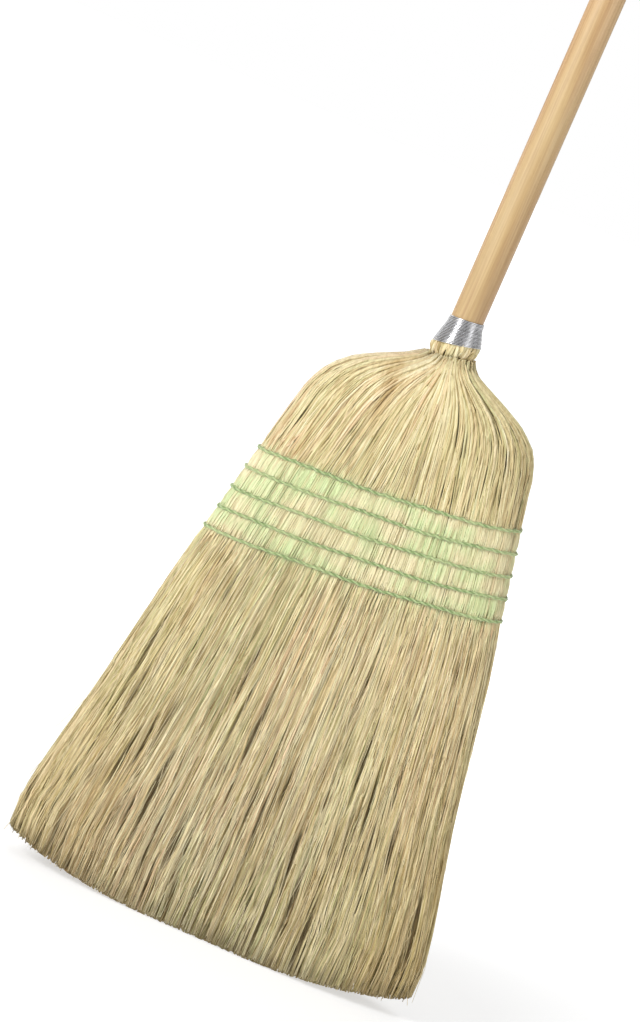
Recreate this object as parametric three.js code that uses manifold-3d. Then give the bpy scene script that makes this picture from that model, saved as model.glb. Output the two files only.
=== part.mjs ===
// A flat sewn corn broom: a turned wooden handle, a head of broomcorn fibre bound to it with wire,
// and rows of twine that sew the head flat.
//
// The broom stands upright on its trimmed fibre ends. The origin is the middle of that trim, +Z runs up
// the handle, X is the head's width and Y its thickness, with the front towards -Y. Millimetres.

import * as THREE from "three";
import { mergeVertices } from "three/addons/utils/BufferGeometryUtils.js";
import Module from "manifold-3d";

const wasm = await Module();
wasm.setup();

// ---------------------------------------------------------------- driving dimensions

const STRAW_LENGTH = 465; // trim to the lower edge of the neck wire
const GAP = 0.3; // left between pieces that touch

const HANDLE_LENGTH = 1067;
const HANDLE_DIAMETER = 23.8;
const HANDLE_DEPTH = 110; // the handle's lower end below the neck wire's lower edge
const HANDLE_POINT_LENGTH = 40; // the lower end's taper
const HANDLE_POINT_DIAMETER = 16;
const HANDLE_END_ROUND = 4; // rounding of the upper end, which leaves a flat in its middle

const WIRE_DIAMETER = 1.2;
const WIRE_PITCH = 1.4; // turn to turn
const NECK_WIRE_HEIGHT = 20;
const STALK_TAPER_HEIGHT = 13; // the stalk ends thin out to nothing over this height above the straw
const STALK_TIP = 0.5; // stalk thickness left at the taper's top
const NECK_RADIUS = 16.6; // stalks round the handle at the neck wire's lower edge

const CORE_STALKS = 2; // thickness of the middle bunches' stalks round the handle
const SHOULDER_STALKS = 2.1; // thickness of the shoulder bunches' stalks over the core wire
const TIE_DROP = 20; // top of the inner ties, below the neck wire's lower edge
const TIE_HEIGHT = 8;
const COVER_THICKNESS = 5.5; // the finer fibre laid over the front and the back

const SHOULDER_HALF_WIDTH = 87;
const SHOULDER_HALF_THICKNESS = 29;
const BAND_TOP_HALF_WIDTH = 98.5;
const BAND_BOTTOM_HALF_WIDTH = 112;
const BAND_HALF_THICKNESS = 21;
const TRIM_HALF_WIDTH = 156;
const TRIM_HALF_THICKNESS = 30;
const TRIM_RISE = 15; // how much higher the trim is at its corners than in its middle
const TRIM_FLAT = 80; // length of the trim's level middle

const CORE_HALF_WIDTH_AT_BAND = 46;
const CORE_HALF_WIDTH_AT_TRIM = 78;

const ROW_COUNT = 5;
const TOP_ROW_DROP = 116; // the top row below the neck wire's lower edge
const ROW_SPACING = 16.6;
const ROW_TILT = THREE.MathUtils.degToRad(4.6); // the rows run a little uphill towards +X
const TWINE_DIAMETER = 2.2;
const STITCH_DIAMETER = 2; // the twine where it passes through the head
const STITCH_PITCH = 30;
const STITCH_EDGE = 12; // the outermost stitch from the head's edge

const FLEX_DROP = 37.6; // the free ends' bending axis below the lowest row
const FLEX_EDGE_ANGLE = THREE.MathUtils.degToRad(15);
const FLEX_GAP = 0.6;

const TACK_HEAD_DIAMETER = 4.4;
const TACK_HEAD_THICKNESS = 0.9;
const TACK_SHANK_DIAMETER = 1.5;
const TACK_LENGTH = 9;

const SIDES = 28; // round pieces and head sections
const WIRE_SIDES = 6;
const WIRE_STEPS = 10; // per turn
const TWINE_SIDES = 6;
const STITCH_SIDES = 4;

// ---------------------------------------------------------------- worked-out sizes

const handleRadius = HANDLE_DIAMETER / 2;
const wireRadius = WIRE_DIAMETER / 2;
const twineRadius = TWINE_DIAMETER / 2;
const stitchRadius = STITCH_DIAMETER / 2;
const socketRadius = handleRadius + GAP;
const handleBottom = STRAW_LENGTH - HANDLE_DEPTH;
const handleTop = handleBottom + HANDLE_LENGTH;
const bandHeight = (ROW_COUNT - 1) * ROW_SPACING;
const bandBottomDrop = TOP_ROW_DROP + bandHeight;
const flexDrop = bandBottomDrop + FLEX_DROP;
const flexZ = STRAW_LENGTH - flexDrop;

// A polygon of chords lies this much inside its circle, so what winds round it is set out by as much.
const chordSag = (radius, sides) => radius * (1 / Math.cos(Math.PI / sides) - 1);

const coreNeckRadius = socketRadius + CORE_STALKS;
const coreWireRadius = coreNeckRadius + GAP + wireRadius + chordSag(coreNeckRadius, WIRE_STEPS);
const shoulderBoreRadius = coreWireRadius + wireRadius + GAP;
const shoulderNeckRadius = shoulderBoreRadius + SHOULDER_STALKS;
const shoulderWireRadius =
  shoulderNeckRadius + GAP + wireRadius + chordSag(shoulderNeckRadius, WIRE_STEPS);
const coverBoreRadius = shoulderWireRadius + wireRadius + GAP;
const tieBottomDrop = TIE_DROP + TIE_HEIGHT;

// ---------------------------------------------------------------- solids

function solidFrom(geometry) {
  const bare = geometry.clone();
  bare.deleteAttribute("normal");
  bare.deleteAttribute("uv");
  const merged = mergeVertices(bare, 1e-4);
  const solid = new wasm.Manifold(
    new wasm.Mesh({
      numProp: 3,
      vertProperties: new Float32Array(merged.attributes.position.array),
      triVerts: new Uint32Array(merged.index.array),
    }),
  );
  if (solid.volume() > 0) return solid;
  throw new Error("a solid's faces point inwards");
}

function geometryFrom(solid) {
  const mesh = solid.getMesh();
  const geometry = new THREE.BufferGeometry();
  geometry.setAttribute("position", new THREE.BufferAttribute(mesh.vertProperties, 3));
  geometry.setIndex(new THREE.BufferAttribute(mesh.triVerts, 1));
  geometry.computeVertexNormals();
  return geometry;
}

const join = (solids) => solids.reduce((all, solid) => all.add(solid));

// A solid turned about the Z axis from a profile of [radius, z] points that starts and ends on the axis.
function turned(profile, sides = SIDES) {
  const points = profile.map(([radius, z]) => new THREE.Vector2(radius, z));
  const geometry = new THREE.LatheGeometry(points, sides);
  geometry.rotateX(Math.PI / 2);
  return solidFrom(geometry);
}

const rod = (radius, z0, z1, sides = SIDES) =>
  turned([[0, z0], [radius, z0], [radius, z1], [0, z1]], sides);

function block(x0, x1, y0, y1, z0, z1) {
  const geometry = new THREE.BoxGeometry(x1 - x0, y1 - y0, z1 - z0);
  geometry.translate((x0 + x1) / 2, (y0 + y1) / 2, (z0 + z1) / 2);
  return solidFrom(geometry);
}

// A cylinder that lies along Y, through the point x, z.
function crossRod(radius, x, z, y0, y1, sides) {
  const geometry = new THREE.CylinderGeometry(radius, radius, y1 - y0, sides);
  geometry.translate(x, (y0 + y1) / 2, z);
  return solidFrom(geometry);
}

// ---------------------------------------------------------------- head sections

// A profile is a list of { drop, width, thickness, square }: half sizes of the section at a drop below
// the neck wire's lower edge. A section is a superellipse, round at square 2 and boxier above it.
const station = (drop, width, thickness = width, square = 2) => ({ drop, width, thickness, square });

function sectionAt(profile, z) {
  const drop = THREE.MathUtils.clamp(STRAW_LENGTH - z, profile[0].drop, profile.at(-1).drop);
  const next = Math.max(1, profile.findIndex((row) => row.drop >= drop));
  const [a, b] = [profile[next - 1], profile[next]];
  const share = (drop - a.drop) / (b.drop - a.drop);
  const between = (key) => THREE.MathUtils.lerp(a[key], b[key], share);
  return { width: between("width"), thickness: between("thickness"), square: between("square") };
}

function sectionPoint(section, angle) {
  const curve = (value) => Math.sign(value) * Math.abs(value) ** (2 / section.square);
  return [section.width * curve(Math.cos(angle)), section.thickness * curve(Math.sin(angle))];
}

function heightOnSection(section, x) {
  const share = Math.min(1, Math.abs(x) / section.width);
  return section.thickness * (1 - share ** section.square) ** (1 / section.square);
}

// The solid through a profile's sections: a turned solid of radius 1 whose points move out to them.
function lofted(profile) {
  const last = profile.length - 1;
  const points = [new THREE.Vector2(0, last)];
  for (let row = last; row >= 0; row--) points.push(new THREE.Vector2(1, row));
  points.push(new THREE.Vector2(0, 0));
  const geometry = new THREE.LatheGeometry(points.reverse(), SIDES);
  const position = geometry.attributes.position;
  for (let i = 0; i < position.count; i++) {
    const row = profile[Math.round(position.getY(i))];
    const onAxis = Math.hypot(position.getX(i), position.getZ(i)) < 0.5;
    const step = Math.round((Math.atan2(position.getZ(i), position.getX(i)) * SIDES) / (2 * Math.PI));
    const [x, y] = onAxis ? [0, 0] : sectionPoint(row, (step * 2 * Math.PI) / SIDES);
    position.setXYZ(i, x, y, STRAW_LENGTH - row.drop);
  }
  return solidFrom(geometry);
}

function grown(profile, by) {
  const rows = profile.map((row) => ({
    ...row,
    width: row.width + by,
    thickness: row.thickness + by,
  }));
  rows[0].drop -= by;
  return rows;
}

const outside = [
  station(-STALK_TAPER_HEIGHT, socketRadius + STALK_TIP),
  station(0, NECK_RADIUS),
  station(3, NECK_RADIUS + 0.9),
  station(9, NECK_RADIUS + 0.7),
  station(14, NECK_RADIUS + 4.4, NECK_RADIUS + 3.4),
  station(19, NECK_RADIUS + 13, NECK_RADIUS + 7.4),
  station(25, SHOULDER_HALF_WIDTH * 0.5, SHOULDER_HALF_THICKNESS - 3, 2.1),
  station(36, SHOULDER_HALF_WIDTH * 0.74, SHOULDER_HALF_THICKNESS - 1, 2.2),
  station(49, SHOULDER_HALF_WIDTH * 0.9, SHOULDER_HALF_THICKNESS, 2.3),
  station(66, SHOULDER_HALF_WIDTH, SHOULDER_HALF_THICKNESS, 2.4),
  station(90, (SHOULDER_HALF_WIDTH + BAND_TOP_HALF_WIDTH) / 2, SHOULDER_HALF_THICKNESS - 2, 2.5),
  station(TOP_ROW_DROP, BAND_TOP_HALF_WIDTH, BAND_HALF_THICKNESS + 3, 2.7),
  station(bandBottomDrop, BAND_BOTTOM_HALF_WIDTH, BAND_HALF_THICKNESS, 2.8),
  station(flexDrop, BAND_BOTTOM_HALF_WIDTH + 8, BAND_HALF_THICKNESS + 0.5, 2.8),
  station(STRAW_LENGTH - 40, TRIM_HALF_WIDTH, TRIM_HALF_THICKNESS - 1, 2.8),
  station(STRAW_LENGTH, TRIM_HALF_WIDTH - 1, TRIM_HALF_THICKNESS, 2.8),
];

// The middle bunches and the shoulders together: round in the ties, then wider than the head, so that
// the cover lies over its front and back only.
const underCover = [
  station(TIE_DROP - 1, shoulderNeckRadius),
  station(tieBottomDrop + 3, shoulderNeckRadius),
  station(tieBottomDrop + 15, SHOULDER_HALF_WIDTH * 0.66, SHOULDER_HALF_THICKNESS - 7),
  ...outside
    .filter((row) => row.drop > tieBottomDrop + 15)
    .map((row) => ({
      ...row,
      width: row.width + 4,
      thickness: row.thickness - COVER_THICKNESS,
    })),
];
underCover.at(-1).drop += 5;

const coreReach = SHOULDER_HALF_THICKNESS; // thicker than the bunches, so the core meets the cover
const core = [
  station(TIE_DROP - 2, coreNeckRadius),
  station(tieBottomDrop + 1, coreNeckRadius),
  station(tieBottomDrop + 10, coreNeckRadius + 6, coreNeckRadius + 1.5),
  station(tieBottomDrop + 25, CORE_HALF_WIDTH_AT_BAND - 10, coreReach),
  station(TOP_ROW_DROP, CORE_HALF_WIDTH_AT_BAND, coreReach, 4),
  station(bandBottomDrop, CORE_HALF_WIDTH_AT_BAND + 6, coreReach, 4),
  station(STRAW_LENGTH + 5, CORE_HALF_WIDTH_AT_TRIM, TRIM_HALF_THICKNESS + 5, 4),
];

// ---------------------------------------------------------------- wire, twine and tacks

class Winding extends THREE.Curve {
  constructor(radiusAt, z0, z1) {
    super();
    this.radiusAt = radiusAt;
    this.z0 = z0;
    this.z1 = z1;
    this.turns = (z1 - z0) / WIRE_PITCH;
  }

  getPoint(share, target = new THREE.Vector3()) {
    const z = THREE.MathUtils.lerp(this.z0, this.z1, share);
    const angle = 2 * Math.PI * this.turns * share;
    const radius = this.radiusAt(z);
    return target.set(radius * Math.cos(angle), radius * Math.sin(angle), z);
  }
}

function wound(radiusAt, z0, z1) {
  const path = new Winding(radiusAt, z0 + wireRadius, z1 - wireRadius);
  path.arcLengthDivisions = Math.ceil(path.turns * WIRE_STEPS * 4);
  const section = new THREE.Shape();
  section.absarc(0, 0, wireRadius, 0, 2 * Math.PI);
  const geometry = new THREE.ExtrudeGeometry(section, {
    steps: Math.ceil(path.turns * WIRE_STEPS),
    curveSegments: WIRE_SIDES / 2,
    extrudePath: path,
  });
  return solidFrom(geometry);
}

// The height of a row of twine over x, where z is the row's height in the middle.
const rowHeight = (z, x) => z + x * Math.tan(ROW_TILT);

// A ring of twine round the head, in a plane that slopes with the row: a torus whose points move out.
function twineRing(z) {
  const geometry = new THREE.TorusGeometry(1, 0.5, TWINE_SIDES, SIDES);
  const position = geometry.attributes.position;
  for (let i = 0; i < position.count; i++) {
    const [px, py, pz] = [position.getX(i), position.getY(i), position.getZ(i)];
    const angle = Math.atan2(py, px);
    const out = (Math.hypot(px, py) - 1) * TWINE_DIAMETER;
    const level = sectionAt(outside, z);
    const there = sectionAt(outside, rowHeight(z, sectionPoint(level, angle)[0]));
    there.width += 2 * GAP + twineRadius;
    there.thickness += 2 * GAP + twineRadius;
    const [x, y] = sectionPoint(there, angle);
    const slope = new THREE.Vector2(
      Math.sign(x) * Math.abs(x / there.width) ** (there.square - 1) / there.width,
      Math.sign(y) * Math.abs(y / there.thickness) ** (there.square - 1) / there.thickness,
    ).normalize();
    const [ringX, ringY] = [x + slope.x * out, y + slope.y * out];
    position.setXYZ(i, ringX, ringY, rowHeight(z, ringX) + pz * TWINE_DIAMETER);
  }
  return solidFrom(geometry);
}

// Where a row's stitches pass through the head: evenly from either side of the handle to near the edge.
function stitchPlaces(z) {
  const places = [];
  const first = handleRadius + STITCH_DIAMETER + 2 * GAP;
  for (const side of [-1, 1]) {
    for (let x = side * first; ; x += side * STITCH_PITCH) {
      const height = rowHeight(z, x);
      const section = sectionAt(outside, height);
      if (Math.abs(x) > section.width - STITCH_EDGE) break;
      places.push({ x, z: height, reach: heightOnSection(section, x) + 2 * GAP + twineRadius });
    }
  }
  return places;
}

const stitchRods = (z, radius, extra) =>
  stitchPlaces(z).map((stitch) =>
    crossRod(radius, stitch.x, stitch.z, -stitch.reach - extra, stitch.reach + extra, STITCH_SIDES),
  );

// A tack driven in from the back, its head resting on a round surface of this radius.
function tack(z, radius, clearance) {
  const seat = radius + GAP - clearance;
  const headRadius = TACK_HEAD_DIAMETER / 2 + clearance;
  const top = seat + TACK_HEAD_THICKNESS + 2 * clearance;
  return join([
    crossRod(headRadius, 0, z, seat, top, 16),
    crossRod(TACK_SHANK_DIAMETER / 2 + clearance, 0, z, seat - TACK_LENGTH, seat + GAP, 12),
  ]);
}

// ---------------------------------------------------------------- handle

const neckTop = STRAW_LENGTH + NECK_WIRE_HEIGHT;
const neckTackZ = neckTop + TACK_HEAD_DIAMETER / 2 + 1;
const coreTackZ = STRAW_LENGTH - tieBottomDrop - TACK_HEAD_DIAMETER / 2 - 1;

function handleProfile(clearance) {
  const radius = handleRadius + clearance;
  const point = HANDLE_POINT_DIAMETER / 2 + clearance;
  const roundSteps = 4;
  const profile = [
    [0, handleBottom - clearance],
    [point, handleBottom - clearance],
    [radius, handleBottom + HANDLE_POINT_LENGTH],
  ];
  for (let step = 0; step <= roundSteps; step++) {
    const angle = (step / roundSteps) * (Math.PI / 2);
    profile.push([
      radius - HANDLE_END_ROUND * (1 - Math.cos(angle)),
      handleTop - HANDLE_END_ROUND * (1 - Math.sin(angle)),
    ]);
  }
  profile.push([0, handleTop]);
  return profile;
}

const handle = turned(handleProfile(0))
  .subtract(tack(neckTackZ, handleRadius, GAP))
  .subtract(tack(coreTackZ, handleRadius, GAP));
const socket = turned(handleProfile(GAP));

// ---------------------------------------------------------------- straw

const head = lofted(outside);
const inner = lofted(underCover);
const innerBore = lofted(grown(underCover, GAP));
const middle = lofted(core);
const middleBore = lofted(grown(core, GAP));

const tieTop = STRAW_LENGTH - TIE_DROP;
const tieBottom = STRAW_LENGTH - tieBottomDrop;
const coreWireBore = rod(shoulderBoreRadius, tieBottom - GAP, tieTop + 2);
const shoulderWireBore = rod(coverBoreRadius, tieBottom - GAP, tieTop + 1 + GAP);
const coreTackBore = tack(coreTackZ, handleRadius, 2 * GAP);

const rowHeights = Array.from({ length: ROW_COUNT }, (_, row) =>
  STRAW_LENGTH - TOP_ROW_DROP - row * ROW_SPACING,
);
const stitchHoles = join(rowHeights.flatMap((z) => stitchRods(z, stitchRadius + 2 * GAP, 5)));

const farX = TRIM_HALF_WIDTH + 100;
const farY = TRIM_HALF_THICKNESS + 100;
const farZ = handleTop + 100;

// The free ends turn about an axis along X. They meet the sewn part on a round surface about it, wide
// enough that neither side reaches the other as they bend.
function belowFlex(gap) {
  const radius = sectionAt(outside, flexZ).thickness / Math.cos(FLEX_EDGE_ANGLE) + gap;
  const round = new THREE.CylinderGeometry(radius, radius, 2 * farX, 2 * SIDES);
  round.rotateZ(Math.PI / 2);
  round.translate(0, 0, flexZ);
  return block(-farX, farX, -farY, farY, -farZ, flexZ).add(solidFrom(round));
}

const sewnSide = belowFlex(FLEX_GAP);
const freeSide = belowFlex(0);

// The trim seen from the front: level in the middle, then an arc up to each corner.
function trimOutline() {
  const edge = TRIM_HALF_WIDTH;
  const half = TRIM_FLAT / 2;
  const control = half + (edge - half) / 2;
  const shape = new THREE.Shape();
  shape.moveTo(-half, 0);
  shape.lineTo(half, 0);
  shape.quadraticCurveTo(control, 0, edge, TRIM_RISE);
  shape.lineTo(farX, TRIM_RISE);
  shape.lineTo(farX, STRAW_LENGTH);
  shape.lineTo(-farX, STRAW_LENGTH);
  shape.lineTo(-farX, TRIM_RISE);
  shape.lineTo(-edge, TRIM_RISE);
  shape.quadraticCurveTo(-control, 0, -half, 0);
  const geometry = new THREE.ExtrudeGeometry(shape, {
    depth: 2 * farY,
    bevelEnabled: false,
    curveSegments: 8,
  });
  geometry.rotateX(Math.PI / 2);
  geometry.translate(0, farY, 0);
  return solidFrom(geometry);
}

const trimmed = trimOutline();
const front = block(-farX, farX, -farY, -GAP / 2, -farZ, farZ);
const back = block(-farX, farX, GAP / 2, farY, -farZ, farZ);
const left = block(-farX, -GAP / 2, -farY, farY, -farZ, farZ);
const right = block(GAP / 2, farX, -farY, farY, -farZ, farZ);

const coreStraw = middle.intersect(inner).intersect(head).subtract(socket).subtract(coreTackBore);
const shoulderStraw = inner
  .intersect(head)
  .subtract(middleBore)
  .subtract(coreWireBore)
  .subtract(socket);
const coverStraw = head
  .subtract(innerBore)
  .subtract(middleBore.intersect(inner))
  .subtract(shoulderWireBore)
  .subtract(socket);

const sewn = (solid) => solid.subtract(sewnSide).subtract(stitchHoles);
const free = (solid) => solid.intersect(freeSide).intersect(trimmed);

// ---------------------------------------------------------------- assembly

const straw = new THREE.MeshStandardMaterial({ color: 0xd9c894, roughness: 0.85, metalness: 0 });
const shoulderColour = straw.clone();
shoulderColour.color.set(0xcdbb84);
const coreColour = straw.clone();
coreColour.color.set(0xb9a46c);
const wood = new THREE.MeshStandardMaterial({ color: 0xdcb384, roughness: 0.5, metalness: 0 });
const steel = new THREE.MeshStandardMaterial({ color: 0xc9cbcd, roughness: 0.3, metalness: 1 });
const twine = new THREE.MeshStandardMaterial({ color: 0x7fa878, roughness: 0.9, metalness: 0 });

function piece(name, solid, material) {
  const mesh = new THREE.Mesh(geometryFrom(solid), material.clone());
  mesh.name = name;
  return mesh;
}

const neckWireRadius = (z) => {
  const under = z < STRAW_LENGTH + STALK_TAPER_HEIGHT + wireRadius;
  const radius = under ? sectionAt(outside, z - wireRadius).width : handleRadius;
  return radius + GAP + wireRadius + chordSag(radius, WIRE_STEPS);
};

const broom = new THREE.Group();
broom.name = "broom";
broom.add(
  piece("handle", handle, wood),
  piece("core_front", sewn(coreStraw.intersect(front)), coreColour),
  piece("core_back", sewn(coreStraw.intersect(back)), coreColour),
  piece("core_tack", tack(coreTackZ, handleRadius, 0), steel),
  piece("core_wire", wound(() => coreWireRadius, tieBottom, tieTop), steel),
  piece("shoulder_left", sewn(shoulderStraw.intersect(left)), shoulderColour),
  piece("shoulder_right", sewn(shoulderStraw.intersect(right)), shoulderColour),
  piece("shoulder_wire", wound(() => shoulderWireRadius, tieBottom, tieTop), steel),
  piece("cover_front", sewn(coverStraw.intersect(front)), straw),
  piece("cover_back", sewn(coverStraw.intersect(back)), straw),
  piece("neck_wire", wound(neckWireRadius, STRAW_LENGTH, neckTop), steel),
  piece("neck_tack", tack(neckTackZ, handleRadius, 0), steel),
);
rowHeights.forEach((z, row) => {
  const solid = join([twineRing(z), ...stitchRods(z, stitchRadius, 0)]);
  broom.add(piece(`stitch_row_${row + 1}`, solid, twine));
});

const freeEnds = new THREE.Group();
freeEnds.name = "free_ends";
freeEnds.add(
  piece("core_ends", free(coreStraw), coreColour),
  piece("shoulder_left_ends", free(shoulderStraw.intersect(left)), shoulderColour),
  piece("shoulder_right_ends", free(shoulderStraw.intersect(right)), shoulderColour),
  piece("cover_front_ends", free(coverStraw.intersect(front)), straw),
  piece("cover_back_ends", free(coverStraw.intersect(back)), straw),
);
broom.add(freeEnds);

export default broom;
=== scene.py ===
# %% [markdown]
# # A sewn corn broom
# The broom is a wooden handle, a head of broomcorn fibre bound to it with steel wire, and five rows of
# green twine that sew the head flat. The CAD frame gives every place and size. Here each surface gets
# its real look: the straw is made as thousands of separate fibres, because a corn broom has no skin
# that could be painted to look like it.

# %% Load the frame
import math
import bpy
import numpy as np
from mathutils import Matrix, Vector


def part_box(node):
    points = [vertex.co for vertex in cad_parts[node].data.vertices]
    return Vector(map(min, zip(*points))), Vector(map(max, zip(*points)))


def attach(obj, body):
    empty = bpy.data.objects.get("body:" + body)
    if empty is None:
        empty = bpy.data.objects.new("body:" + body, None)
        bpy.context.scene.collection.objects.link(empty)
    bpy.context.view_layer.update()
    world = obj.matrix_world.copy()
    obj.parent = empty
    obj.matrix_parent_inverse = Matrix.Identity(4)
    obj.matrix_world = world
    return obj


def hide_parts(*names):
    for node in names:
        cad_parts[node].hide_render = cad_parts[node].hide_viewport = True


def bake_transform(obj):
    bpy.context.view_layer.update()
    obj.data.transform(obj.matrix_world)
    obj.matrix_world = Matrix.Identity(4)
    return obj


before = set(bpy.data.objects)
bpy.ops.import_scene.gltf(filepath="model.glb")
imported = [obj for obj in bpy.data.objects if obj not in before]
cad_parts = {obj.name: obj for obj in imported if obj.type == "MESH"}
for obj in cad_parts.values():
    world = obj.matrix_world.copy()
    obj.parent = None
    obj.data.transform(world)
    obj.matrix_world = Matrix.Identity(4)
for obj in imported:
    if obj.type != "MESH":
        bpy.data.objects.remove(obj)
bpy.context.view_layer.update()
rng = np.random.default_rng(11)

# %% [markdown]
# ## The camera
# The camera comes first, because it says how fine the fibres have to be. It looks at the front of the
# head from slightly above and is rolled, so that the handle leans to the right. A long lens keeps the
# handle as wide at its top as at the neck.

# %% Camera
VIEW_HEIGHT = 0.7334  # height of the view, at the broom's distance
LENS = 120.0
SENSOR = 36.0
camera_data = bpy.data.cameras.new("camera")
camera_data.lens = LENS
camera_data.sensor_width = SENSOR
camera = bpy.data.objects.new("camera", camera_data)
bpy.context.scene.collection.objects.link(camera)
bpy.context.scene.camera = camera
bpy.context.scene.view_settings.view_transform = "Standard"


def aim(obj, target, direction, distance, roll=0.0):
    """Puts obj at target + direction * distance, looking at target, turned by roll about its own axis."""
    back = Vector(direction).normalized()
    obj.location = Vector(target) + back * distance
    turn = (-back).to_track_quat("-Z", "Y").to_matrix() @ Matrix.Rotation(roll, 3, "Z")
    obj.rotation_euler = turn.to_euler()


CAMERA_RISE = math.radians(7.0)
CAMERA_ROLL = math.radians(23.6)
VIEW_MIDDLE = (-0.0416, 0.0, 0.3167)
aim(
    camera,
    target=VIEW_MIDDLE,
    direction=(0.0, -math.cos(CAMERA_RISE), math.sin(CAMERA_RISE)),
    distance=VIEW_HEIGHT * LENS / SENSOR,
    roll=CAMERA_ROLL,
)
print("camera at", tuple(round(v, 3) for v in camera.location))

# %% [markdown]
# ## Lamps
# A soft studio: a square key lamp high on the left, a weaker one on the right and one behind. The room
# round them comes last, with the floor. Soft lamps in front keep the grooves between the fibres shallow
# and brown, where one hard lamp would turn each of them black.

# %% Lamps
HEAD_MIDDLE = (0.0, 0.0, 0.35)


def area_light(name, direction, distance, size, power, target=HEAD_MIDDLE):
    """A square lamp that shines on the head from a direction."""
    data = bpy.data.lights.new(name, "AREA")
    data.size = size
    data.energy = power
    lamp = bpy.data.objects.new(name, data)
    bpy.context.scene.collection.objects.link(lamp)
    aim(lamp, target, direction, distance)
    return lamp


area_light("key_light", (-0.75, -0.75, 0.55), 2.6, 1.0, 50.0)
area_light("fill_light", (0.9, -0.7, 0.35), 3.0, 1.6, 16.0)
area_light("rim_light", (-0.2, 0.9, 0.6), 3.0, 1.6, 30.0)

# %% [markdown]
# ## Mesh helpers
# Every new piece is a set of tubes or a surface over rings, worked out as whole arrays. `surface` puts
# the points and faces into a mesh, and `skin` closes one over rings. `tubes` carries a round section
# along thousands of paths at once, which is much faster than a Blender curve for each fibre. Blender's
# own hair would be lighter still, but hair is no mesh, and this straw has to bend and be exported as
# one. Each tube gets a cell of the piece's UV map.


# %% Helpers
def surface(name, points, face_sets, attributes=None, smooth=True, uv=None):
    """Makes an object from points (n, 3) and one array of corner numbers for each face size."""
    corners = np.concatenate([faces.ravel() for faces in face_sets]).astype(np.int32)
    sizes = np.concatenate([np.full(len(faces), faces.shape[1]) for faces in face_sets])
    starts = np.concatenate([[0], np.cumsum(sizes)[:-1]]).astype(np.int32)
    mesh = bpy.data.meshes.new(name)
    mesh.vertices.add(len(points))
    mesh.vertices.foreach_set("co", np.asarray(points, np.float32).ravel())
    mesh.loops.add(len(corners))
    mesh.loops.foreach_set("vertex_index", corners)
    mesh.polygons.add(len(sizes))
    mesh.polygons.foreach_set("loop_start", starts)
    mesh.update(calc_edges=True)
    mesh.polygons.foreach_set("use_smooth", np.full(len(sizes), smooth))
    for key, values in (attributes or {}).items():
        layer = mesh.attributes.new(key, "FLOAT", "POINT")
        layer.data.foreach_set("value", np.asarray(values, np.float32).ravel())
    if uv is not None:
        layer = mesh.uv_layers.new(name="OFBake")
        layer.data.foreach_set("uv", np.asarray(uv, np.float32).ravel())
    obj = bpy.data.objects.new(name, mesh)
    bpy.context.scene.collection.objects.link(obj)
    return obj


def skin(name, rings, attributes=None):
    """A closed surface over level rings of points (k, n, 3), the lowest first.

    At each end a fan of faces closes it, from the ring to a point on the handle's axis, x = y = 0.
    """
    k, n = rings.shape[:2]
    index = np.arange(k * n).reshape(k, n)
    turned = np.roll(index, -1, axis=1)
    walls = np.stack([index[:-1], turned[:-1], turned[1:], index[1:]], axis=-1).reshape(-1, 4)
    bottom = np.stack([np.full(n, k * n), turned[0], index[0]], axis=-1)
    top = np.stack([np.full(n, k * n + 1), index[-1], turned[-1]], axis=-1)
    middles = [[0, 0, rings[0, 0, 2]], [0, 0, rings[-1, 0, 2]]]
    points = np.vstack([rings.reshape(-1, 3), middles])
    return surface(name, points, [walls, np.concatenate([bottom, top])], attributes)


def unit(vectors):
    """Vectors made one long, each divided by its length."""
    return vectors / np.maximum(np.linalg.norm(vectors, axis=-1, keepdims=True), 1e-12)


def tubes(name, paths, radii, across, sides=3, attributes=None):
    """A round tube along each of n paths.

    paths is (n, k, 3), radii (n, k) and across (n, k, 3) a direction that lies flat on the surface the
    tubes lie on. A point of a tube is path + radius * (cos(a) * B + sin(a) * N), where B is across made
    square to the path, and N is the path's direction crossed with B. attributes holds values for each
    tube, (n), or for each point of each path, (n, k).
    """
    n, k = radii.shape
    along = unit(np.gradient(paths, axis=1))
    flat = unit(across - along * np.sum(across * along, axis=-1, keepdims=True))
    out = np.cross(along, flat)
    angle = np.arange(sides) * 2 * np.pi / sides
    reach = radii[:, :, None]
    ring = (
        paths[:, :, None, :]
        + (reach * np.cos(angle))[..., None] * flat[:, :, None, :]
        + (reach * np.sin(angle))[..., None] * out[:, :, None, :]
    )
    number = np.arange(n * k * sides).reshape(n, k, sides)
    turned = np.roll(number, -1, axis=2)
    walls = np.stack([number[:, :-1], turned[:, :-1], turned[:, 1:], number[:, 1:]], axis=-1)
    caps = np.concatenate([number[:, 0, ::-1], number[:, -1, :]])
    per_point = {
        key: np.broadcast_to(value.reshape(n, -1, 1), (n, k, sides))
        for key, value in (attributes or {}).items()
    }
    uv = tube_map(n, k, sides)
    return surface(name, ring.reshape(-1, 3), [walls.reshape(-1, 4), caps], per_point, uv=uv)


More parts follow.
